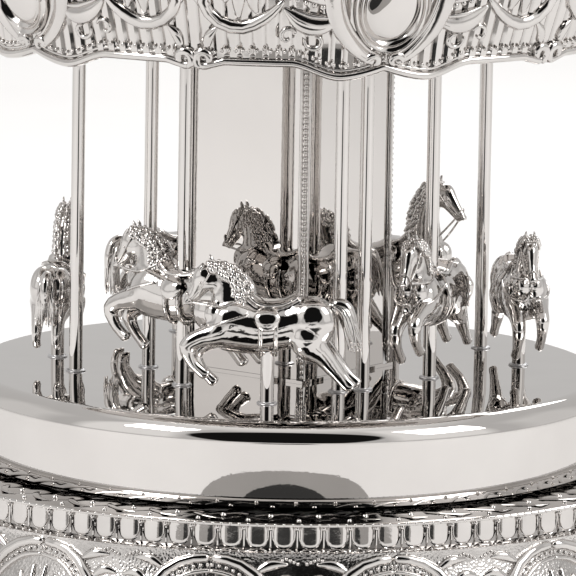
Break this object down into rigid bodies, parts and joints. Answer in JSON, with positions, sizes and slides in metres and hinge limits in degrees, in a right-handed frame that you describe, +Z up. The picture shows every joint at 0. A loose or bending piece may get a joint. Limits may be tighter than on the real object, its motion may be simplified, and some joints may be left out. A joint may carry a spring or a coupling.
{
  "type": "carousel music box",
  "caption": "Plated carousel music box: horses on poles round a mirrored column turn under a fluted canopy, driven by a spring-wound movement in an ornate base.",
  "frame": {"origin": "centre of the plane the feet rest on", "axes": "+Z up along the turntable's axis; -Y is the front, towards the viewer; +X to the viewer's right"},
  "size_m": [0.202, 0.202, 0.2475],
  "materials": {
    "silver_plate": "bright silver plate, polished, faint wear in the relief",
    "mirror": "mirror-polished plated sheet",
    "steel": "turned steel, zinc plated",
    "comb_steel": "ground and hardened spring steel",
    "brass": "machined brass, lacquered",
    "zinc": "die-cast zinc, satin",
    "nylon": "moulded nylon",
    "felt": "dark wool felt"
  },
  "bodies": {
    "base": {"felt_pads": "felt", "feet": "silver_plate", "foot_screws": "steel", "base_plate": "zinc", "plate_screws": "steel", "base_shell": "silver_plate", "fluted_band": "silver_plate", "base_deck": "silver_plate", "deck_screws": "steel", "deck_bush": "brass", "thrust_washer": "nylon", "movement_bedplate": "zinc", "movement_screws": "steel", "comb_block": "zinc", "music_comb": "comb_steel", "comb_screws": "steel", "cylinder_brackets": "brass", "governor_frame": "brass"},
    "key": {"winding_key": "silver_plate", "key_arbor": "steel"},
    "turntable": {"spring_barrel": "brass", "mainspring": "comb_steel", "barrel_cover": "brass", "crown_wheel": "brass", "drive_spindle": "steel", "turntable_disc": "silver_plate", "turntable_hub": "zinc", "hub_screws": "steel", "column_core": "zinc", "mirror_panels": "mirror", "corner_strips": "silver_plate", "column_plinth": "silver_plate", "column_cap": "silver_plate", "tie_rod": "silver_plate", "canopy_poles": "silver_plate", "horse_poles": "silver_plate", "horse_posts": "silver_plate", "pole_nuts": "steel", "horse_front": "silver_plate", "horse_right": "silver_plate", "horse_back_right": "silver_plate", "horse_back_left": "silver_plate", "horse_left": "silver_plate", "inner_horse_left": "silver_plate", "inner_horse_right": "silver_plate", "inner_horse_back": "silver_plate", "canopy_floor": "silver_plate", "canopy_skirt": "silver_plate", "cartouches": "silver_plate", "canopy_cornice": "silver_plate", "canopy_roof": "silver_plate", "roof_ribs": "silver_plate", "roof_nut": "silver_plate", "finial": "silver_plate"},
    "cylinder": {"music_cylinder": "brass", "cylinder_arbor": "steel", "cylinder_gear": "brass"},
    "idler": {"idler_arbor": "steel", "worm_wheel": "brass"},
    "governor": {"air_brake": "steel"}
  },
  "joints": [
    {"name": "turntable_spin", "type": "hinge", "parent": "base", "child": "turntable", "pos_m": [0, 0, 0.078], "axis": [0, 0, -1], "continuous": true},
    {"name": "key_wind", "type": "hinge", "parent": "base", "child": "key", "pos_m": [0, 0, 0.01], "axis": [0, 0, -1], "continuous": true},
    {"name": "cylinder_spin", "type": "hinge", "parent": "base", "child": "cylinder", "pos_m": [0.04, 0, 0.0422], "axis": [1, 0, 0], "continuous": true},
    {"name": "idler_spin", "type": "hinge", "parent": "base", "child": "idler", "pos_m": [0.06, -0.0128, 0.0422], "axis": [1, 0, 0], "continuous": true},
    {"name": "air_brake_spin", "type": "hinge", "parent": "base", "child": "governor", "pos_m": [0.067, -0.0212, 0.0422], "axis": [0, 0, 1], "continuous": true}
  ],
  "couplings": [
    {"joint": "cylinder_spin", "follows": "turntable_spin", "ratio": -4},
    {"joint": "idler_spin", "follows": "turntable_spin", "ratio": 12},
    {"joint": "air_brake_spin", "follows": "turntable_spin", "ratio": 192}
  ]
}
